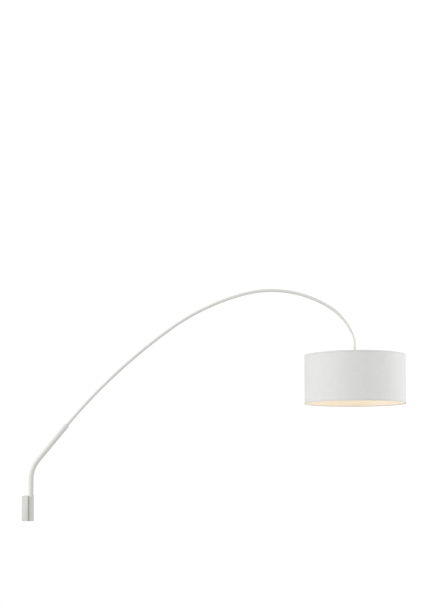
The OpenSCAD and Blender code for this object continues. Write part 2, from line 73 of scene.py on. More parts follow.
# ---------------------------------------------------------------- routes
class Route:
    """A line in the XZ plane made of straight and bent steps, read by its length."""

    def __init__(self, start, steps):
        self.poses, self.steps, self.ends = [start], steps, [0.0]
        for radius, amount in steps:
            length = amount if radius == 0 else radius * math.radians(amount)
            self.poses.append(self.along(self.poses[-1], radius, length))
            self.ends.append(self.ends[-1] + length)
        self.length = self.ends[-1]

    @staticmethod
    def along(pose, radius, length):
        x, z, heading = pose
        if radius == 0:
            return x + length * math.cos(heading), z + length * math.sin(heading), heading
        after = heading - length / radius
        return (x + radius * (math.sin(heading) - math.sin(after)),
                z - radius * (math.cos(heading) - math.cos(after)), after)

    def at(self, s):
        i = max(0, min(len(self.steps) - 1, int(np.searchsorted(self.ends, s, "right")) - 1))
        return self.along(self.poses[i], self.steps[i][0], s - self.ends[i])

    def stations(self, s0, s1, turn=1.5):
        """Lengths from s0 to s1, close enough together in the bends."""
        found = [s0]
        for i, (radius, _) in enumerate(self.steps):
            a, b = max(s0, self.ends[i]), min(s1, self.ends[i + 1])
            if b - a < 1e-6:
                continue
            n = 1 if radius == 0 else max(1, math.ceil((b - a) / radius / math.radians(turn)))
            found += [a + (b - a) * k / n for k in range(1, n + 1)]
        return found


tube_route = Route((AXIS_X, FOOT_Z, math.pi / 2), TUBE_STEPS)
tube_end = tube_route.at(tube_route.length)
rod_start = Route.along(tube_end, 0, -ROD_INSERT)
rod_route = Route(rod_start, [(0, ROD_INSERT)] + ROD_STEPS + [(0, NARROWING)] + NECK_STEPS
                  + [(0, NARROWING)] + TIP_STEPS)
first_narrowing, second_narrowing, tail_start = (rod_route.ends[i] for i in (5, 7, 9))
hang = rod_route.at(tail_start)
SHADE_X, RIM_Z = hang[0], hang[1] - SHADE_DROP


# ---------------------------------------------------------------- mesh helpers
def rounded(corners, steps=4):
    """An outline whose corners (x, y, radius) are rounded."""
    out = []
    n = len(corners)
    for i, (x, y, r) in enumerate(corners):
        p = Vector((x, y))
        if r <= 0:
            out.append((x, y))
            continue
        u = (Vector(corners[i - 1][:2]) - p)
        v = (Vector(corners[(i + 1) % n][:2]) - p)
        room = 0.499 * min(u.length, v.length)
        u.normalize(), v.normalize()
        opening = u.angle(v)
        cut = min(r / math.tan(opening / 2), room)
        r = cut * math.tan(opening / 2)
        centre = p + (u + v).normalized() * (r / math.sin(opening / 2))
        a, b = p + u * cut - centre, p + v * cut - centre
        sweep = a.angle(b)
        for k in range(steps + 1):
            t = k / steps
            w = (math.sin((1 - t) * sweep) * a + math.sin(t * sweep) * b) / math.sin(sweep)
            out.append(tuple(centre + w))
    return out


def inset(outline, d):
    """The outline moved inwards by d; the outline runs anticlockwise."""
    out = []
    n = len(outline)
    for i in range(n):
        a, p, b = (Vector(outline[k % n]) for k in (i - 1, i, i + 1))
        u, v = (p - a).normalized(), (b - p).normalized()
        m = Vector((-u.y, u.x)) + Vector((-v.y, v.x))
        m.normalize()
        out.append(tuple(p + m * (d / max(0.3, m.dot(Vector((-v.y, v.x)))))))
    return out


def loops_mesh(loops, close_ring=False, capped=True):
    """Quads between successive loops of equal length; the ends are capped or joined."""
    n = len(loops[0])
    verts = [v for loop in loops for v in loop]
    faces = []
    last = len(loops) if close_ring else len(loops) - 1
    for i in range(last):
        a, b = i * n, ((i + 1) % len(loops)) * n
        for j in range(n):
            k = (j + 1) % n
            faces.append((a + j, a + k, b + k, b + j))
    if capped and not close_ring:
        faces.append(tuple(range(n)))
        faces.append(tuple((len(loops) - 1) * n + j for j in range(n)))
    return verts, faces


def extruded(outline, z0, z1, edge=0.5, steps=3):
    """An outline pulled from z0 to z1, with rounded rims."""
    loops = []
    for end, inwards in ((z0, 1), (z1, -1)):
        ring = []
        for k in range(steps + 1):
            a = math.pi / 2 * k / steps
            d, h = edge * (1 - math.sin(a)), edge * (1 - math.cos(a))
            ring.append([(x, y, end + inwards * h) for x, y in inset(outline, d)])
        loops += ring if inwards == 1 else ring[::-1]
    return loops_mesh(loops)


def turned(outline, segments=96, wave=None):
    """A closed (radius, height) outline turned about Z. wave(radius, height, angle) adds to
    the radius."""
    loops = []
    for j in range(segments):
        a = 2 * math.pi * j / segments
        loop = []
        for r, z in outline:
            q = r + (wave(r, z, a) if wave and r > 0 else 0)
            loop.append((q * math.cos(a), q * math.sin(a), z))
        loops.append(loop)
    return loops_mesh(loops, close_ring=True)


def swept(route, rings, segments=48, wave=None, skip=None):
    """A closed chain of rings (length along the route, radius) as one surface.
    skip(i, j) is true for the faces that an opening leaves out."""
    loops = []
    for s, r in rings:
        x, z, heading = route.at(s)
        up = (-math.sin(heading), math.cos(heading))
        loop = []
        for j in range(segments):
            a = 2 * math.pi * j / segments
            q = r + (wave(s, r, a) if wave else 0)
            loop.append((x + q * math.cos(a) * up[0], q * math.sin(a),
                         z + q * math.cos(a) * up[1]))
        loops.append(loop)
    verts, faces = loops_mesh(loops, close_ring=True)
    if skip:
        faces = [f for i, f in enumerate(faces) if not skip(i // segments, i % segments)]
    return verts, faces


def moved(part, matrix):
    verts, faces = part
    return [tuple(matrix @ Vector(v)) for v in verts], faces


def joined(*parts):
    verts, faces = [], []
    for v, f in parts:
        faces += [tuple(i + len(verts) for i in face) for face in f]
        verts += v
    return verts, faces


def new_object(name, part, sharp=40):
    """A mesh object, in metres, from a part in millimetres."""
    verts, faces = part
    mesh = bpy.data.meshes.new(name)
    mesh.from_pydata([(x * MM, y * MM, z * MM) for x, y, z in verts], [], faces)
    bm = bmesh.new()
    bm.from_mesh(mesh)
    bmesh.ops.remove_doubles(bm, verts=bm.verts, dist=1e-7)
    bmesh.ops.delete(bm, geom=[e for e in bm.edges if not e.link_faces], context="EDGES")
    bmesh.ops.recalc_face_normals(bm, faces=bm.faces)
    bm.to_mesh(mesh)
    bm.free()
    obj = bpy.data.objects.new(name, mesh)
    bpy.context.scene.collection.objects.link(obj)
    soften(obj, sharp)
    return obj


def soften(obj, sharp=40):
    mesh = obj.data
    mesh.polygons.foreach_set("use_smooth", [True] * len(mesh.polygons))
    mesh.set_sharp_from_angle(angle=math.radians(sharp))
    mesh.update()


def carved(obj, cutters, operation="DIFFERENCE", sharp=40):
    """obj with each cutter (a part in millimetres) taken out of it, or added to it."""
    made = []
    for i, part in enumerate(cutters):
        c = new_object(f"{obj.name}_cutter_{i}", part)
        made.append(c)
        m = obj.modifiers.new("carve", "BOOLEAN")
        m.operation, m.solver, m.object = operation, "EXACT", c
    graph = bpy.context.evaluated_depsgraph_get()
    mesh = bpy.data.meshes.new_from_object(obj.evaluated_get(graph))
    obj.modifiers.clear()
    old, obj.data = obj.data, mesh
    name = old.name
    bpy.data.meshes.remove(old)
    mesh.name = name
    for c in made:
        bpy.data.objects.remove(c)
    soften(obj, sharp)
    return obj


def dressed(obj, body, material, slot, *nodes):
    obj.data.materials.clear()
    obj.data.materials.append(material)
    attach(obj, body)
    if nodes:
        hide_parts(*nodes)
    return obj


ALONG_X = Matrix(((0, 0, 1), (0, 1, 0), (-1, 0, 0))).to_4x4()   # +Z of a part turns to +X
ON_SWIVEL = Matrix.Translation((AXIS_X, 0, 0))
ON_HOLDER = Matrix.Translation((SHADE_X, 0, RIM_Z))


def at_pose(pose):
    """A part's +Z turns to the pose's heading in the XZ plane."""
    x, z, heading = pose
    return Matrix.Translation((x, 0, z)) @ Matrix.Rotation(math.pi / 2 - heading, 4, "Y")


# a cutter's corners stay off the corners of what it cuts
OFF_THE_SEAM = Matrix.Rotation(math.radians(2.3), 4, "Z")


def drill(r, z0, z1, segments=32):
    """A cutter for a round hole along Z."""
    return turned([(0, z0), (r, z0), (r, z1), (0, z1)], segments)


def drill_along_x(r, x0, x1, y, z, segments=50):
    return moved(drill(r, x0, x1, segments),
                 Matrix.Translation((0, y, z)) @ ALONG_X @ OFF_THE_SEAM)


def at_corner(end, y):
    """A part that points up out of the housing's top goes to the screw hole at a corner."""
    turn = Matrix.Rotation(math.pi if end < 0 else 0, 4, "X")
    return Matrix.Translation((SCREW_X, y, 0)) @ turn


def out_of_tube(z):
    """A part's +Z turns to point out of the tube's side, z above the tube's end."""
    return (at_pose(tube_end) @ Matrix.Translation((0, 0, z))
            @ Matrix.Rotation(math.pi / 2, 4, "Y"))


def out_of_holder(z):
    """A part's +Z turns to point out of the holder towards the wall, z above the rim."""
    return (ON_HOLDER @ Matrix.Translation((0, 0, z))
            @ Matrix.Rotation(-math.pi / 2, 4, "Y"))


# ---------------------------------------------------------------- material helpers
class Look:
    """A procedural material: a Principled shader with helpers for its nodes."""

    def __init__(self, name, colour, roughness, metallic=0.0, **sockets):
        self.material = bpy.data.materials.new(name)
        self.material.use_nodes = True
        self.tree = self.material.node_tree
        self.tree.nodes.clear()
        out = self.tree.nodes.new("ShaderNodeOutputMaterial")
        self.shader = self.tree.nodes.new("ShaderNodeBsdfPrincipled")
        self.tree.links.new(self.shader.outputs[0], out.inputs[0])
        self.shader.inputs["Base Color"].default_value = (*colour, 1)
        self.shader.inputs["Roughness"].default_value = roughness
        self.shader.inputs["Metallic"].default_value = metallic
        for key, value in sockets.items():
            self.shader.inputs[key.replace("_", " ")].default_value = value
        self.place = self.node("ShaderNodeTexCoord").outputs["Object"]

    def node(self, kind, **settings):
        n = self.tree.nodes.new(kind)
        for key, value in settings.items():
            setattr(n, key, value)
        return n

    def put(self, value, socket):
        if isinstance(value, bpy.types.NodeSocket):
            self.tree.links.new(value, socket)
        else:
            socket.default_value = value

    def math(self, operation, *values):
        n = self.node("ShaderNodeMath", operation=operation)
        for value, socket in zip(values, n.inputs):
            self.put(value, socket)
        return n.outputs[0]

    def split(self, vector):
        n = self.node("ShaderNodeSeparateXYZ")
        self.put(vector, n.inputs[0])
        return n.outputs

    def combine(self, x, y, z):
        n = self.node("ShaderNodeCombineXYZ")
        for value, socket in zip((x, y, z), n.inputs):
            self.put(value, socket)
        return n.outputs[0]

    def noise(self, scale, detail=3.0, rough=0.5, vector=None):
        n = self.node("ShaderNodeTexNoise")
        self.put(self.place if vector is None else vector, n.inputs["Vector"])
        n.inputs["Scale"].default_value = scale
        n.inputs["Detail"].default_value = detail
        n.inputs["Roughness"].default_value = rough
        return n.outputs[0]

    def span(self, value, low, high, to_low, to_high):
        n = self.node("ShaderNodeMapRange")
        for v, socket in zip((value, low, high, to_low, to_high), n.inputs):
            self.put(v, socket)
        return n.outputs[0]

    def blend(self, factor, a, b):
        n = self.node("ShaderNodeMix", data_type="RGBA")
        self.put(factor, n.inputs[0])
        self.put((*a, 1) if isinstance(a, tuple) else a, n.inputs[6])
        self.put((*b, 1) if isinstance(b, tuple) else b, n.inputs[7])
        return n.outputs[2]

    def colour(self, value):
        self.put(value, self.shader.inputs["Base Color"])

    def roughness(self, value):
        self.put(value, self.shader.inputs["Roughness"])

    def bump(self, height, depth, strength=1.0, under=None):
        """height runs from 0 to 1 over depth, in metres."""
        n = self.node("ShaderNodeBump")
        n.inputs["Strength"].default_value = strength
        n.inputs["Distance"].default_value = depth
        self.put(height, n.inputs["Height"])
        if under is not None:
            self.put(under, n.inputs["Normal"])
        self.put(n.outputs[0], self.shader.inputs["Normal"])
        return n.outputs[0]


def shaded(colour, factor):
    return tuple(c * factor for c in colour)


def painted(name, colour, worn=True):
    """Satin powder coat: a fine orange peel, faint mottling and slightly polished edges."""
    k = Look(name, colour, 0.42, Coat_Weight=0.12, Coat_Roughness=0.3)
    mottle = k.noise(14, 4, 0.6)
    tone = k.blend(k.span(mottle, 0.3, 0.7, 0, 1), shaded(colour, 0.975), shaded(colour, 1.015))
    speck = k.span(k.noise(1900, 1, 0.5), 0.66, 0.74, 0, 0.35)
    tone = k.blend(speck, tone, shaded(colour, 0.9))
    if worn:
        edge = k.node("ShaderNodeBevel", samples=4)
        edge.inputs["Radius"].default_value = 0.0009
        normal = k.node("ShaderNodeNewGeometry").outputs["Normal"]
        dot = k.node("ShaderNodeVectorMath", operation="DOT_PRODUCT")
        k.put(edge.outputs[0], dot.inputs[0])
        k.put(normal, dot.inputs[1])
        rub = k.math("MULTIPLY", k.span(dot.outputs["Value"], 0.985, 0.93, 0, 1),
                     k.span(k.noise(160, 4, 0.7), 0.42, 0.6, 0.1, 1))
        tone = k.blend(k.math("MULTIPLY", rub, 0.5), tone, shaded(colour, 1.06))
        smear = k.math("SUBTRACT", k.span(k.noise(9, 5, 0.65), 0.3, 0.7, 0.36, 0.5),
                       k.math("MULTIPLY", rub, 0.1))
    else:
        smear = k.span(k.noise(9, 5, 0.65), 0.3, 0.7, 0.36, 0.5)
    k.colour(tone)
    k.roughness(smear)
    peel = k.bump(k.noise(420, 2, 0.4), 0.00002, 0.5)
    k.bump(k.noise(2400, 2, 0.5), 0.000003, 0.5, under=peel)
    return k.material


def around_shade(k):
    """(length round the shade, height) of a point, from its place."""
    x, y, z = k.split(k.place)
    angle = k.math("ARCTAN2", k.math("SUBTRACT", x, SHADE_X * MM), y)
    return k.math("MULTIPLY", angle, SHADE_R * MM), z


def woven(name, colour, pitch, slub, contrast, depth, sheen):
    """Plain weave round the shade: upright warp, level weft, and slubs in the weft."""
    k = Look(name, colour, 0.88, Sheen_Weight=sheen, Sheen_Roughness=0.45)
    k.shader.inputs["Specular IOR Level"].default_value = 0.25
    u, v = around_shade(k)
    wobble = k.math("MULTIPLY", k.math("SUBTRACT", k.noise(45, 2, 0.5), 0.5), pitch * 1.4)
    # a weft thread's number and the place in it; the threads' heights wander a little
    vs = k.math("DIVIDE", k.math("ADD", v, wobble), pitch)
    us = k.math("DIVIDE", k.math("ADD", u, wobble), pitch)
    row, col = k.math("FLOOR", vs), k.math("FLOOR", us)
    weft = k.math("ABSOLUTE", k.math("SINE", k.math("MULTIPLY", vs, math.pi)))
    warp = k.math("ABSOLUTE", k.math("SINE", k.math("MULTIPLY", us, math.pi)))
    over = k.math("MODULO", k.math("ABSOLUTE", k.math("ADD", row, col)), 2.0)
    # each thread has its own thickness and tone along its length
    weft_own = k.noise(1.0, 3, 0.6, k.combine(k.math("MULTIPLY", u, 22.0),
                                              k.math("MULTIPLY", row, 3.7), 0.0))
    warp_own = k.noise(1.0, 3, 0.6, k.combine(k.math("MULTIPLY", col, 5.3),
                                              k.math("MULTIPLY", v, 30.0), 7.0))
    lumps = k.span(weft_own, 0.56, 0.74, 0.0, slub)
    weft_high = k.math("MULTIPLY", weft, k.math("ADD", k.span(over, 0, 1, 0.45, 1.0), lumps))
    warp_high = k.math("MULTIPLY", warp, k.span(over, 0, 1, 1.0, 0.45))
    height = k.math("MAXIMUM", weft_high, warp_high)
    fuzz = k.noise(5200, 2, 0.7)
    height = k.math("ADD", height, k.math("MULTIPLY", fuzz, 0.22))
    thread = k.blend(k.span(over, 0, 1, 0, 1),
                     k.blend(k.span(warp_own, 0.3, 0.7, 0, 1), shaded(colour, 1 - contrast),
                             shaded(colour, 1 + contrast * 0.6)),
                     k.blend(k.span(weft_own, 0.3, 0.7, 0, 1), shaded(colour, 1 - contrast),
                             shaded(colour, 1 + contrast * 0.6)))
    # painted shade: the colour darkens where the weave lies low, between the threads
    thread_gap_shade = k.span(height, 0.25, 0.75, 0.74, 1.0)
    tone = k.node("ShaderNodeMix", data_type="RGBA", blend_type="MULTIPLY")
    tone.inputs[0].default_value = 1.0
    k.put(thread, tone.inputs[6])
    k.put(k.combine(thread_gap_shade, thread_gap_shade, thread_gap_shade), tone.inputs[7])
    # broad slub lines, several threads high, which show from afar
    line = k.noise(1.0, 2, 0.5, k.combine(k.math("MULTIPLY", u, 3.0),
                                          k.math("MULTIPLY", v, 240.0), 3.0))
    k.colour(k.blend(k.span(line, 0.6, 0.74, 0, 0.3), tone.outputs[2], shaded(colour, 0.86)))
    k.bump(height, depth, 0.8)
    return k.material


def metal(name, colour, roughness, lines, axis=2):
    """Turned or drawn metal: fine lines across one axis, with a faint tarnish."""
    k = Look(name, colour, roughness, metallic=1.0)
    x, y, z = k.split(k.place)
    stretched = [k.math("MULTIPLY", c, lines if i == axis else lines * 0.04)
                 for i, c in enumerate((x, y, z))]
    fine = k.noise(1.0, 3, 0.6, k.combine(*stretched))
    dull = k.noise(120, 4, 0.65)
    k.colour(k.blend(k.span(dull, 0.35, 0.75, 0, 0.5), colour, shaded(colour, 0.78)))
    k.roughness(k.math("ADD", k.span(fine, 0.3, 0.7, roughness - 0.06, roughness + 0.1),
                       k.span(dull, 0.4, 0.8, 0.0, 0.1)))
    k.bump(fine, 0.00002, 0.6)
    return k.material


def moulded(name, colour, roughness, grain=900, depth=0.00003, **sockets):
    """Moulded plastic, rubber or ceramic: a faint flow mottle and a fine moulded skin."""
    k = Look(name, colour, roughness, **sockets)
    k.colour(k.blend(k.span(k.noise(60, 4, 0.6), 0.3, 0.7, 0, 1), shaded(colour, 0.95),
                     shaded(colour, 1.03)))
    k.roughness(k.span(k.noise(35, 4, 0.6), 0.3, 0.7, roughness - 0.06, roughness + 0.08))
    k.bump(k.noise(grain, 3, 0.55), depth, 0.5)
    return k.material


def lined(name, colour):
    """The shade's stiff lining: matt film with faint fibres in it, lit from within."""
    k = Look(name, colour, 0.55)
    u, v = around_shade(k)
    fibre = k.noise(1.0, 4, 0.6, k.combine(k.math("MULTIPLY", u, 260.0),
                                           k.math("MULTIPLY", v, 900.0), 0.0))
    k.colour(k.blend(k.span(fibre, 0.35, 0.7, 0, 1), shaded(colour, 0.965), colour))
    k.roughness(k.span(k.noise(22, 3, 0.5), 0.3, 0.7, 0.48, 0.62))
    k.bump(fibre, 0.00004, 0.4)
    return k.material


def opal(name, colour, strength):
    """Opal globe: glows evenly, with faint cloudiness."""
    k = Look(name, colour, 0.32)
    cloud = k.noise(38, 4, 0.55)
    k.colour(k.blend(k.span(cloud, 0.3, 0.7, 0, 1), shaded(colour, 0.96), colour))
    k.put(k.blend(k.span(cloud, 0.3, 0.7, 0, 1), (1.0, 0.78, 0.5), (1.0, 0.82, 0.56)),
          k.shader.inputs["Emission Color"])
    k.shader.inputs["Emission Strength"].default_value = strength
    k.roughness(k.span(k.noise(50, 3, 0.5), 0.3, 0.7, 0.26, 0.38))
    k.bump(k.noise(300, 2, 0.5), 0.00002, 0.3)
    return k.material


PAINT = painted("white_powder_coat", (0.77, 0.77, 0.745))
WIRE_PAINT = painted("white_wire_paint", (0.82, 0.82, 0.8), worn=False)
STEEL = metal("zinc_plated_steel", (0.6, 0.61, 0.63), 0.34, 5200)
NICKEL = metal("nickel_plate", (0.72, 0.7, 0.67), 0.24, 3600)
BRASS = metal("turned_brass", (0.76, 0.56, 0.27), 0.3, 4200)
POLYMER = moulded("bush_polymer", (0.8, 0.79, 0.74), 0.42)
HOLDER_PLASTIC = moulded("holder_plastic", (0.82, 0.815, 0.79), 0.34, 1400, 0.00004)
BULB_PLASTIC = moulded("bulb_plastic", (0.84, 0.835, 0.81), 0.4, 1100)
CERAMIC = moulded("glazed_ceramic", (0.82, 0.81, 0.77), 0.2, 240, 0.00006)
RUBBER = moulded("black_rubber", (0.035, 0.035, 0.036), 0.7, 1500, 0.00008)
SHEATH = moulded("cable_sheath", (0.045, 0.045, 0.047), 0.5, 700, 0.00006)
FABRIC = woven("shade_cloth", (0.84, 0.84, 0.825), 0.00085, 0.5, 0.09, 0.00022, 0.12)
# the tape cloth is darker than the cover's, a painted shade line along both rims
TAPE = woven("rim_tape_cloth", (0.79, 0.79, 0.775), 0.0006, 0.25, 0.06, 0.00014, 0.1)
LINER = lined("liner_film", (0.90, 0.87, 0.80))
OPAL = opal("opal_globe", (0.9, 0.88, 0.84), 1.1)
OPAL.cycles.emission_sampling = "NONE"   # the point light inside the globe does the lighting


# ---------------------------------------------------------------- wall bracket
def make_plate():
    y, z = PLATE_W / 2, PLATE_H / 2
    outline = rounded([(-y, -z, 4), (y, -z, 4), (y, z, 4), (-y, z, 4)], 8)
    # the outline lies in YZ: pulled along +Z here, then laid along +X
    body = moved(extruded(outline, 0, PLATE_T, 0.6),
                 Matrix(((0, 0, 1, 0), (1, 0, 0, 0), (0, 1, 0, 0), (0, 0, 0, 1))))
    plate = new_object("wall_plate_body", body)
    lugs = []
    for end, y in SCREW_CORNERS:
        block = rounded([(PLATE_T - 1, y - LUG_W / 2, 0.5), (PLATE_T + LUG_L, y - LUG_W / 2, 1.2),
                         (PLATE_T + LUG_L, y + LUG_W / 2, 1.2), (PLATE_T - 1, y + LUG_W / 2, 0.5)])
        z0, z1 = sorted((end * (TOP - SHELL_T), end * (TOP - SHELL_T - LUG_T)))
        lugs.append(extruded(block, z0, z1, 0.4))
    carved(plate, lugs, "UNION")

    holes = [drill_along_x(CABLE_HOLE_R, -1, PLATE_T + 1, 0, CABLE_HOLE_Z, 64)]
    sink = [(0, -1), (3.65, -1), (3.25, 0.4), (3.25, 5), (6.0, 8.01), (6.0, 9), (0, 9)]
    for z in (-WALL_HOLE_Z, WALL_HOLE_Z):
        holes.append(moved(turned(sink, 64), Matrix.Translation((0, 0, z)) @ ALONG_X))
    # blind holes for the earth screw and for the terminal block's screw
    holes.append(drill_along_x(2, 3, PLATE_T + 1, -SCREW_Y, 0, 32))
    holes.append(drill_along_x(1.5, 3, PLATE_T + 1, 3.75, -22, 32))
    holes += [moved(drill(2, 51, 62), at_corner(*corner)) for corner in SCREW_CORNERS]
    carved(plate, holes)
    return dressed(plate, "bracket", PAINT, "painted_steel", "wall_plate")


def make_housing():
    """The hollow block, with a groove down its front in which the sleeve nests."""
    groove_r = SLEEVE_R + 0.25
    mouth = math.acos((AXIS_X - HOUSING_FRONT) / groove_r)
    half, steps = HOUSING_W / 2, 20
    arc = [(AXIS_X - groove_r * math.cos(a), groove_r * math.sin(a))
           for a in (mouth * (2 * k / steps - 1) for k in range(steps + 1))]
    corners = [(PLATE_T, -half, 0.6), (HOUSING_FRONT, -half, 3.0), (*arc[0], 0.6)]
    corners += [(x, y, 0) for x, y in arc[1:-1]]
    corners += [(*arc[-1], 0.6), (HOUSING_FRONT, half, 3.0), (PLATE_T, half, 0.6)]
    housing = new_object("housing_shell", extruded(rounded(corners, 6), -TOP, TOP, 0.4), 30)

    # the hollow is open to the plate and steps back behind the groove
    side, front, behind_groove, step_y = half - SHELL_T, HOUSING_FRONT - SHELL_T, 22, 14
    hollow = [(PLATE_T - 1, -side, 0), (front, -side, 1.5), (front, -step_y, 1),
              (behind_groove, -step_y, 1), (behind_groove, step_y, 1), (front, step_y, 1),
              (front, side, 1.5), (PLATE_T - 1, side, 0)]
    cutters = [extruded(rounded(hollow), -TOP + SHELL_T, TOP - SHELL_T, 0.8),
               drill_along_x(PAD_HOLE_R, 20, 31, 0, PAD_Z),
               drill_along_x(LEAD_HOLE_R, 20, 31, 0, LEAD_Z)]
    countersunk = turned([(0, 50), (2.05, 50), (2.05, TOP - 2.05), (3.6, TOP - 0.12),
                          (3.85, TOP + 0.1), (3.85, TOP + 1), (0, TOP + 1)], 48)
    cutters += [moved(countersunk, at_corner(*corner)) for corner in SCREW_CORNERS]
    carved(housing, cutters, sharp=30)
    return dressed(housing, "bracket", PAINT, "painted_steel", "bracket_housing")


def make_housing_screws():
    screw = rounded([(0, TOP - 10, 0), (2, TOP - 10, 0.4), (2, TOP - 2.1, 0),
                     (3.5, TOP - 0.25, 0.15), (3.1, TOP - 0.05, 0.1), (0, TOP - 0.05, 0)], 2)
    hexagon = drill(1.2, TOP - 1.5, TOP + 1, 6)
    places = [at_corner(*corner) for corner in SCREW_CORNERS]
    screws = new_object("housing_screw_set",
                        joined(*(moved(turned(screw, 48), place) for place in places)), 35)
    carved(screws, [moved(hexagon, place) for place in places], sharp=35)
    return dressed(screws, "bracket", STEEL, "steel", "housing_screws")


def make_sleeve():
    foot = -TOP + SLEEVE_CAP_T
    outline = rounded([(SLEEVE_BORE, foot, 0.2), (SLEEVE_R, foot, 0.5), (SLEEVE_R, TOP, 0.5),
                       (SLEEVE_BORE, TOP, 0.2)])
    sleeve = new_object("swivel_sleeve_tube", moved(turned(outline, 128), ON_SWIVEL))
    carved(sleeve, [drill_along_x(r, 20, 31, 0, z) for r, z in (
        (PAD_HOLE_R, PAD_Z), (LEAD_HOLE_R, LEAD_Z), (PIN_HOLE_R, PIN_Z))])
    return dressed(sleeve, "bracket", PAINT, "painted_steel", "swivel_sleeve")


def make_upper_bush():
    foot, lip, lip_r = TOP - BUSH_H, TOP + 1.5, SLEEVE_R - 0.25
    outline = rounded([(BUSH_BORE, foot, 0.2), (SLEEVE_BORE, foot, 0.3), (SLEEVE_BORE, TOP, 0),
                       (lip_r, TOP, 0.2), (lip_r, lip, 0.7), (BUSH_BORE, lip, 0.35)])
    bush = new_object("upper_bush_ring", moved(turned(outline, 128), ON_SWIVEL))
    return dressed(bush, "bracket", POLYMER, "polymer", "upper_bush")


def make_end_cap():
    """A disc under the sleeve with a rim that stands up inside it."""
    disc_top, rim_top, rim_r = -TOP + SLEEVE_CAP_T, -TOP + 6, SLEEVE_BORE - 2
    outline = rounded([(0, -TOP, 0), (SLEEVE_R, -TOP, 1.1), (SLEEVE_R, disc_top, 0.25),
                       (SLEEVE_BORE, disc_top, 0), (SLEEVE_BORE, rim_top, 0.3),
                       (rim_r, rim_top, 0.3), (rim_r, disc_top, 0.3), (0, disc_top, 0)])
    cap = new_object("sleeve_end_disc", moved(turned(outline, 128), ON_SWIVEL))
    return dressed(cap, "bracket", PAINT, "painted_steel", "sleeve_end_cap")


# ---------------------------------------------------------------- arm
def make_lower_tube():
    """The bent tube, with the window in its foot that lets the stop pin through."""
    segments, half_window, window_reach = 120, 31, 2.6
    low, high = (PIN_Z + side * window_reach - FOOT_Z for side in (-1, 1))
    end = tube_route.length
    length = [0.35, low, high] + [s for s in tube_route.stations(high, end - 0.5) if s > high]
    outer = [(0, TUBE_R - 0.35)] + [(s, TUBE_R) for s in length]
    outer += [(end - 0.18, TUBE_R - 0.1), (end, TUBE_R - 0.4)]
    inner = [(s, TUBE_BORE) for s in [end, *reversed(length), 0]]
    rings = outer + inner
    first_out = rings.index((low, TUBE_R))
    first_in = len(outer) + inner.index((high, TUBE_BORE))

    def in_window(i, j):
        return i in (first_out, first_in) and (j < half_window or j >= segments - half_window)

    verts, faces = swept(tube_route, rings, segments, skip=in_window)
    around = [j % segments for j in range(-half_window, half_window + 1)]
    for ring_out, ring_in in ((first_out, first_in + 1), (first_out + 1, first_in)):
        for a, b in zip(around, around[1:]):
            faces.append((ring_out * segments + a, ring_out * segments + b,
                          ring_in * segments + b, ring_in * segments + a))
    for j in (around[0], around[-1]):
        faces.append((first_out * segments + j, (first_out + 1) * segments + j,
                      first_in * segments + j, (first_in + 1) * segments + j))
    tube = new_object("lower_tube_bent", (verts, faces), 35)
    hole = turned([(0, 6), (SOCKET_HOLE_R, 6), (SOCKET_HOLE_R, TUBE_R - 0.35),
                   (2.4, TUBE_R + 0.1), (2.4, 15), (0, 15)], 40)
    carved(tube, [moved(hole, out_of_tube(z)) for z in SOCKET_SCREWS], sharp=35)
    return dressed(tube, "arm", PAINT, "painted_steel", "lower_tube")


def make_ferrule():
    bore, insert, head, seat = ROD_R + 0.03, -30, 10, 0.05
    outline = rounded([(bore, insert, 0.3), (TUBE_BORE, insert, 0.5), (TUBE_BORE, seat, 0),
                       (TUBE_R, seat, 0.35), (TUBE_R, head, 3.9), (bore, head, 0.4)], 8)
    ferrule = new_object("rod_ferrule_head", moved(turned(outline, 96), at_pose(tube_end)))
    hole = drill(SOCKET_HOLE_R, 6, 15, 40)
    carved(ferrule, [moved(hole, out_of_tube(z)) for z in SOCKET_SCREWS])
    return dressed(ferrule, "arm", PAINT, "painted_steel", "rod_ferrule")


def rod_radius(s):
    """The rod's outer radius, with its two narrowings eased in and out."""
    r = ROD_R
    for start, before, after in ((first_narrowing, ROD_R, NECK_R),
                                 (second_narrowing, NECK_R, TIP_R)):
        t = min(1.0, max(0.0, (s - start) / NARROWING))
        t = t * t * (3 - 2 * t)
        r += (after - before) * t
    return r


def make_rod():
    """The rod, bored through, with a threaded tail that the lampholder screws on to."""
    end, tail = rod_route.length, tail_start
    places = rod_route.stations(0.4, tail, 1.2)
    for start in (first_narrowing, second_narrowing):
        places += [start + NARROWING * k / 8 for k in range(1, 8)]
    places = sorted(set(places))
    outer = [(0, ROD_R - 0.4)] + [(s, rod_radius(s)) for s in places]
    pitch, depth = 1.25, 0.32
    per_turn = 6
    thread = [tail + 2.0 + k * pitch / per_turn
              for k in range(int((TAIL - 3) / pitch * per_turn))]
    outer += [(tail + 1.2, TIP_R), (tail + 1.6, THREAD_R)]
    outer += [(s, THREAD_R - depth / 2) for s in thread] + [(end - 0.4, THREAD_R), (end, 4.4)]
    bore = [(s, rod_radius(min(s, tail)) - ROD_WALL) for s in [end, *reversed(places), 0]]

    def wave(s, r, a):
        if r < 4 or not thread[0] <= s <= thread[-1]:
            return 0.0
        ease = min(1.0, (s - thread[0]) / pitch, (thread[-1] - s) / pitch)
        return ease * depth / 2 * math.cos(2 * math.pi * s / pitch - a)

    rod = new_object("arc_rod_tube", swept(rod_route, outer + bore, 48, wave), 50)
    return dressed(rod, "arm", PAINT, "painted_steel", "arc_rod")


def make_tip_collar():
    """The small collar above the shade, with a turned line round its middle."""
    outline = rounded([(THREAD_R, 34, 0.2), (7, 34, 0.9), (7, 38.2, 0.15), (6.6, 38.5, 0.1),
                       (6.6, 38.9, 0.1), (7, 39.2, 0.15), (7, 46, 1.1), (THREAD_R, 46, 0.2)], 4)
    collar = new_object("tip_collar_ring", moved(turned(outline, 72), ON_HOLDER))
    carved(collar, [moved(drill(1.52, 3, 9), out_of_holder(41.5))])
    return dressed(collar, "arm", PAINT, "painted_steel", "tip_collar")


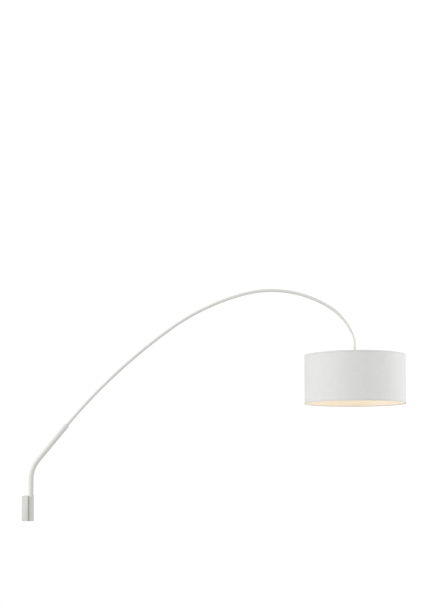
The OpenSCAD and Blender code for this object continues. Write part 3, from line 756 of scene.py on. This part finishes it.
# ---------------------------------------------------------------- lampholder
def flutes(count, depth, r_from, z0, z1):
    """A wave that cuts count shallow flutes into walls outside r_from between two heights."""
    def wave(r, z, a):
        if r < r_from or not z0 <= z <= z1:
            return 0.0
        return -depth * max(0.0, math.cos(count * a)) ** 2
    return wave


def screw_thread(pitch, depth, r_from, z0, z1):
    """A wave that cuts a round-crested helical thread into walls outside r_from."""
    def wave(r, z, a):
        if r < r_from or not z0 <= z <= z1:
            return 0.0
        ease = min(1.0, (z - z0) / pitch, (z1 - z) / pitch)
        return -depth / 2 * ease * (1 - math.cos(2 * math.pi * z / pitch - a))
    return wave


def wall_points(r, z0, z1, step):
    n = max(2, round(abs(z1 - z0) / step))
    return [(r, z0 + (z1 - z0) * k / n) for k in range(1, n)]


def make_holder_cap():
    """The domed cap, with grip flutes low on its side and a lock screw's hole."""
    outline = rounded([(THREAD_R, 28, 0.2), (9, 28, 0.8), (9, 21.5, 1.5), (HOLDER_CAP_R, 10, 5),
                       (HOLDER_CAP_R, -6, 0.6), (18, -6, 0.3), (18, 8.6, 3), (8, 18, 1),
                       (THREAD_R, 18, 0)], 6)
    skirt = next(i for i, (r, z) in enumerate(outline) if r > HOLDER_CAP_R - 0.1 and z < 6)
    outline[skirt:skirt] = wall_points(HOLDER_CAP_R, 4.5, -5.2, 1.6)
    wave = flutes(24, 0.5, HOLDER_CAP_R - 0.5, -4.6, 4.0)
    cap = new_object("holder_cap_dome", moved(turned(outline, 144, wave), ON_HOLDER))
    carved(cap, [moved(drill(2.02, 3, 12), out_of_holder(24))])
    return dressed(cap, "arm", HOLDER_PLASTIC, "holder_plastic", "holder_cap")


def make_holder_body():
    """The barrel: a spigot into the cap, a flange above the shade, and an outside thread."""
    outline = rounded([(15.5, 4, 0.3), (17.9, 4, 0.3), (17.9, -6, 0.2), (22, -6, 0.5),
                       (22, -8, 0.5), (HOLDER_R, -8, 0.3), (HOLDER_R, -54, 1.0),
                       (15.5, -54, 0.6)], 4)
    foot = next(i for i, (r, z) in enumerate(outline) if z < -50)
    outline[foot:foot] = wall_points(HOLDER_R, -16.2, -51.5, 0.42)
    wave = screw_thread(2.5, 0.7, HOLDER_R - 0.1, -51, -16.5)
    shell = new_object("holder_shell", moved(turned(outline, 120, wave), ON_HOLDER), 50)
    return dressed(shell, "arm", HOLDER_PLASTIC, "holder_plastic", "holder_body")


def make_clamp_ring():
    """The ring that holds the shade up, with nine finger scallops."""
    bore = HOLDER_R + 0.02
    outline = rounded([(bore, -16, 0.3), (CLAMP_R, -16, 1.0), (CLAMP_R, -10, 0.7),
                       (bore, -10, 0.3)], 4)

    def scallops(r, z, a):
        return -1.3 * max(0.0, math.cos(9 * a)) ** 4 if r > CLAMP_R - 2 else 0.0

    clamp = new_object("shade_clamp_nut", moved(turned(outline, 180, scallops), ON_HOLDER))
    return dressed(clamp, "arm", HOLDER_PLASTIC, "holder_plastic", "shade_clamp_ring")


# ---------------------------------------------------------------- bulb
NECK_Z = GLOBE_Z + GLOBE_NECK
NECK_RIM_R = math.sqrt(GLOBE_R ** 2 - GLOBE_NECK ** 2)


def make_globe():
    ball = [(GLOBE_R * math.sin(a), GLOBE_Z - GLOBE_R * math.cos(a))
            for a in np.linspace(0, math.pi / 2 + math.asin(GLOBE_NECK / GLOBE_R), 44)]
    ball[0], ball[-1] = (0, GLOBE_Z - GLOBE_R), (NECK_RIM_R, NECK_Z)
    inwards = (GLOBE_R - GLOBE_T) / GLOBE_R
    inner = [(r * inwards, GLOBE_Z + (z - GLOBE_Z) * inwards) for r, z in reversed(ball)]
    inner[0] = (inner[0][0], NECK_Z)
    globe = new_object("bulb_opal", moved(turned(ball + inner, 96), ON_HOLDER), 60)
    return dressed(globe, "arm", OPAL, "bulb_globe", "bulb_globe")


def make_bulb_housing():
    outline = rounded([(13.1, -46, 0.2), (14.1, -48, 0.4), (14.1, -56, 6),
                       (NECK_RIM_R, NECK_Z, 0.3), (NECK_RIM_R - GLOBE_T, NECK_Z, 0.3),
                       (12.6, -56, 6), (12.6, -46, 0.2)], 8)
    base = new_object("bulb_housing", moved(turned(outline, 96), ON_HOLDER), 45)
    return dressed(base, "arm", BULB_PLASTIC, "bulb_plastic", "bulb_body")


def make_bulb_cap():
    """The thin threaded metal cap, open at its foot."""
    outer, inner, foot = 13.1, 12.4, -45.9
    outline = [(outer, foot), *wall_points(outer, foot, -26.5, 0.3), (outer, -26.2),
               (12.6, -25.2), (10.2, -23.4), (5, -23.0), (5, -23.5), (10, -24), (inner, -26),
               *wall_points(inner, -26, foot, 0.3), (inner, foot)]
    wave = screw_thread(3.62, 1.1, 12.3, -45, -26.6)
    cap = new_object("bulb_screw_cap", moved(turned(outline, 96, wave), ON_HOLDER), 60)
    return dressed(cap, "arm", NICKEL, "nickel", "bulb_cap")


# ---------------------------------------------------------------- shade
def make_rings():
    """The wire rings at the shade's two rims."""
    for name, z, node in (("top_ring_wire", -WIRE_R - 1, "shade_top_ring"),
                          ("bottom_ring_wire", -SHADE_H + WIRE_R + 1, "shade_bottom_ring")):
        circle = [(RING_R + WIRE_R * math.cos(a), z + WIRE_R * math.sin(a))
                  for a in (2 * math.pi * k / 20 for k in range(20))]
        ring = new_object(name, moved(turned(circle, 240), ON_HOLDER), 60)
        dressed(ring, "arm", WIRE_PAINT, "painted_wire", node)


def make_spider():
    """The hub and its three arms, which rise a little to the top ring."""
    hub = turned(rounded([(19.5, -10, 0.4), (27, -10, 0.6), (27, -8, 0.6), (19.5, -8, 0.4)]), 120)
    hub_z, ring_z, hub_r = -9.0, -WIRE_R - 1, 26.0
    reach = RING_R - WIRE_R - hub_r
    rise = math.atan2(ring_z - hub_z, reach)
    length = reach / math.cos(rise)
    r = WIRE_R - 0.25
    # a swell at each end stands for the weld
    arm = [(0, -3), (r * 0.8, -3), (r + 0.1, -1), (r + 0.75, 0.6), (r + 0.55, 2), (r, 4),
           (r, length - 5), (r + 0.2, length - 2.6), (r + 0.7, length - 0.6),
           (r * 0.95, length + 0.9), (0, length + 0.9)]
    arms = []
    for turn in (0, 120, 240):
        place = (Matrix.Rotation(math.radians(turn), 4, "Z")
                 @ Matrix.Translation((hub_r, 0, hub_z))
                 @ Matrix.Rotation(math.pi / 2 - rise, 4, "Y"))
        arms.append(moved(turned(arm, 32), place))
    spider = new_object("shade_spider_frame", moved(joined(hub, *arms), ON_HOLDER), 50)
    return dressed(spider, "arm", WIRE_PAINT, "painted_wire", "shade_spider")


def shade_wall(name, r, t, z0, z1, rows=24):
    """A thin round wall between two heights, finely divided."""
    outline = [(r, z0 + (z1 - z0) * k / rows) for k in range(rows + 1)]
    outline += [(r - t, z1 - (z1 - z0) * k / rows) for k in range(rows + 1)]
    return new_object(name, moved(turned(outline, 288), ON_HOLDER), 50)


def make_cover():
    cover = shade_wall("shade_cloth_cover", SHADE_R, COVER_T - 0.02, -SHADE_H, 0)
    return dressed(cover, "arm", FABRIC, "shade_fabric", "shade_cover")


def make_liner():
    short = 0.05
    liner = shade_wall("shade_liner_film", SHADE_R - COVER_T, LINER_T, -SHADE_H + short, -short)
    return dressed(liner, "arm", LINER, "shade_liner", "shade_liner")


def make_tapes():
    """A folded tape over each rim of the cover and liner."""
    lip = SHADE_R - COVER_T - LINER_T
    corners = [(SHADE_R, -TAPE_H, 0), (SHADE_R + TAPE_T, -TAPE_H + 0.2, 0.25),
               (SHADE_R + TAPE_T, TAPE_T, 0.55), (lip, TAPE_T, 0.3), (lip, 0, 0),
               (SHADE_R, 0, 0)]
    tapes = []
    for name, node, base, up in (("top_rim_tape", "shade_top_tape", 0, 1),
                                 ("bottom_rim_tape", "shade_bottom_tape", -SHADE_H, -1)):
        outline = [(r, base + up * z) for r, z in rounded(corners, 4)]
        tape = new_object(name, moved(turned(outline, 288), ON_HOLDER), 40)
        tapes.append(dressed(tape, "arm", TAPE, "shade_tape", node))
    return tapes


def make_seam():
    """The cover's overlap at the back: a soft-edged strip, thinner at its two ends."""
    turn, steps, rise = SEAM_W / SHADE_R, 14, 0.5
    z0, z1 = -SHADE_H + TAPE_H, -TAPE_H
    between = [((z0 + z1) / 2 + (z1 - z0) * (k / 8 - 0.5), 1.0) for k in range(1, 8)]
    loops = []
    for z, lift in ((z0, 0.6), (z0 + 1.5, 1.0), *between, (z1 - 1.5, 1.0), (z1, 0.6)):
        outside, inside = [], []
        for k in range(steps + 1):
            a = math.pi / 2 + turn * (k / steps - 0.5)
            soft = min(1.0, 3.2 * min(k, steps - k) / steps + 0.35)
            r = SHADE_R + rise * lift * soft
            outside.append((r * math.cos(a), r * math.sin(a), z))
            inside.append((SHADE_R * math.cos(a), SHADE_R * math.sin(a), z))
        loops.append(outside + inside[::-1])
    seam = new_object("shade_seam_lap", moved(loops_mesh(loops), ON_HOLDER), 50)
    return dressed(seam, "arm", FABRIC, "shade_fabric", "shade_seam")


def make_shade():
    cover, liner, tapes, seam = make_cover(), make_liner(), make_tapes(), make_seam()


for make in (make_plate, make_housing, make_housing_screws, make_sleeve, make_upper_bush,
             make_end_cap, make_lower_tube, make_ferrule, make_rod, make_tip_collar,
             make_holder_cap, make_holder_body, make_clamp_ring, make_globe,
             make_bulb_housing, make_bulb_cap, make_rings, make_spider, make_shade):
    make()

# the CAD's own solids that are seen as they are

CARRIED = {
    RUBBER: ["cable_grommet"],
    BRASS: ["earth_screw", "terminal_clamps", "tip_nut", "centre_contact", "contact_shell",
            "holder_terminal_screws", "bulb_contact"],
    STEEL: ["stop_pin", "friction_screw", "terminal_screws", "terminal_block_screw",
            "socket_screws", "collar_screw", "cap_lock_screw"],
    POLYMER: ["lower_bush", "friction_pad", "rod_guide"],
    HOLDER_PLASTIC: ["terminal_block"],
    CERAMIC: ["contact_insert"],
    SHEATH: ["bracket_leads", "arm_cable"],
}
for material, names in CARRIED.items():
    for name in names:
        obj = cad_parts[name]
        obj.data.materials.clear()
        obj.data.materials.append(material)


# ---------------------------------------------------------------- camera, light and floor
STUDIO_LIGHT, BACKDROP_WHITE = 0.70, 1.02
KEY_LIGHT, SIDE_LIGHT, BRACKET_LIGHT, BULB_LIGHT = 1.25, 9.2, 0.5, 0.76
KEY_ANGLE, KEY_AZIMUTH, KEY_HEIGHT = math.radians(35), math.radians(-66), math.radians(24)
BULB_COLOUR = (1.0, 0.66, 0.29)
FLOOR_R, FLOOR_Z, FADE_FROM, FADE_TO = 4.6, -1.05, 2.2, 4.4


def set_camera():
    scene = bpy.context.scene
    lens = bpy.data.cameras.new("camera")
    lens.sensor_width, lens.lens = 36.0, 70.28
    lens.shift_y = 0.1875
    camera = bpy.data.objects.new("camera", lens)
    camera.location = (0.9621, -5.8578, 0.1462)
    camera.rotation_euler = (math.radians(93), 0, 0)
    scene.collection.objects.link(camera)
    scene.camera = camera
    scene.view_settings.view_transform = "Standard"


def set_backdrop():
    """The backdrop is seen as pure white, and lights the lamp a little less than that."""
    world = bpy.data.worlds.new("studio")
    world.use_nodes = True
    tree = world.node_tree
    studio, seen = tree.nodes["Background"], tree.nodes.new("ShaderNodeBackground")
    for background, strength in ((studio, STUDIO_LIGHT), (seen, BACKDROP_WHITE)):
        background.inputs["Color"].default_value = (1, 1, 1, 1)
        background.inputs["Strength"].default_value = strength
    mix = tree.nodes.new("ShaderNodeMixShader")
    tree.links.new(tree.nodes.new("ShaderNodeLightPath").outputs["Is Camera Ray"], mix.inputs[0])
    tree.links.new(studio.outputs[0], mix.inputs[1])
    tree.links.new(seen.outputs[0], mix.inputs[2])
    tree.links.new(mix.outputs[0], tree.nodes["World Output"].inputs["Surface"])
    bpy.context.scene.world = world


def floor_material():
    """Pale and matt, fading to the backdrop's white; clear from below, so as not to hide
    the lamp."""
    k = Look("pale_floor", (0.56, 0.56, 0.555), 0.9)
    k.colour(k.blend(k.span(k.noise(1.5, 4, 0.6), 0.3, 0.7, 0, 1), (0.55, 0.55, 0.545),
                     (0.57, 0.57, 0.565)))
    glow = k.node("ShaderNodeEmission")
    glow.inputs["Strength"].default_value = BACKDROP_WHITE
    x, y, _ = k.split(k.place)
    away = k.math("SQRT", k.math("ADD", k.math("MULTIPLY", x, x), k.math("MULTIPLY", y, y)))
    fade = k.node("ShaderNodeMapRange", interpolation_type="SMOOTHSTEP")
    for value, socket in zip((away, FADE_FROM, FADE_TO, 0.0, 1.0), fade.inputs):
        k.put(value, socket)
    faded, one_sided = k.node("ShaderNodeMixShader"), k.node("ShaderNodeMixShader")
    clear = k.node("ShaderNodeBsdfTransparent")
    from_below = k.node("ShaderNodeNewGeometry").outputs["Backfacing"]
    for shader, parts in (
            (faded, (fade.outputs[0], k.shader.outputs[0], glow.outputs[0])),
            (one_sided, (from_below, faded.outputs[0], clear.outputs[0]))):
        for value, socket in zip(parts, shader.inputs):
            k.put(value, socket)
    out = next(n for n in k.tree.nodes if n.type == "OUTPUT_MATERIAL")
    k.put(one_sided.outputs[0], out.inputs[0])
    return k.material


def make_floor():
    mesh = bpy.data.meshes.new("floor")
    bm = bmesh.new()
    bmesh.ops.create_circle(bm, cap_ends=True, segments=96, radius=FLOOR_R)
    bm.to_mesh(mesh)
    bm.free()
    mesh.materials.append(floor_material())
    floor = bpy.data.objects.new("floor", mesh)
    floor.location = (0.9, 0, FLOOR_Z)
    bpy.context.scene.collection.objects.link(floor)


def area_light(name, place, aim, size, power):
    data = bpy.data.lights.new(name, "AREA")
    data.shape, data.size, data.size_y = "RECTANGLE", *size
    data.energy = power
    light = bpy.data.objects.new(name, data)
    light.location = place
    light.rotation_euler = (Vector(aim) - Vector(place)).to_track_quat("-Z", "Y").to_euler()
    light.visible_camera = False
    bpy.context.scene.collection.objects.link(light)


def set_lights():
    sun = bpy.data.lights.new("left_key", "SUN")
    sun.energy, sun.angle = KEY_LIGHT, KEY_ANGLE
    key = bpy.data.objects.new("left_key", sun)
    from_key = Vector((math.sin(KEY_AZIMUTH) * math.cos(KEY_HEIGHT),
                       -math.cos(KEY_AZIMUTH) * math.cos(KEY_HEIGHT), math.sin(KEY_HEIGHT)))
    key.rotation_euler = from_key.to_track_quat("Z", "Y").to_euler()
    bpy.context.scene.collection.objects.link(key)
    area_light("bracket_softbox", (-0.34, -0.72, 0.2), (0.05, 0, 0.05), (0.3, 0.4), BRACKET_LIGHT)
    area_light("right_softbox", (3.2, -0.3, 0.7), (1.75, 0, 0.62), (0.8, 1.2), SIDE_LIGHT)

    # the lamp's own light, in the bulb's globe
    data = bpy.data.lights.new("bulb_light", "POINT")
    data.energy, data.color, data.shadow_soft_size = BULB_LIGHT, BULB_COLOUR, 0.02
    bulb = bpy.data.objects.new("bulb_light", data)
    bulb.location = (SHADE_X * MM, 0, (RIM_Z + GLOBE_Z) * MM)
    bpy.context.scene.collection.objects.link(bulb)
    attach(bulb, "arm")
    bpy.data.objects["bulb_opal"].visible_shadow = False


set_camera()
set_backdrop()
make_floor()
set_lights()
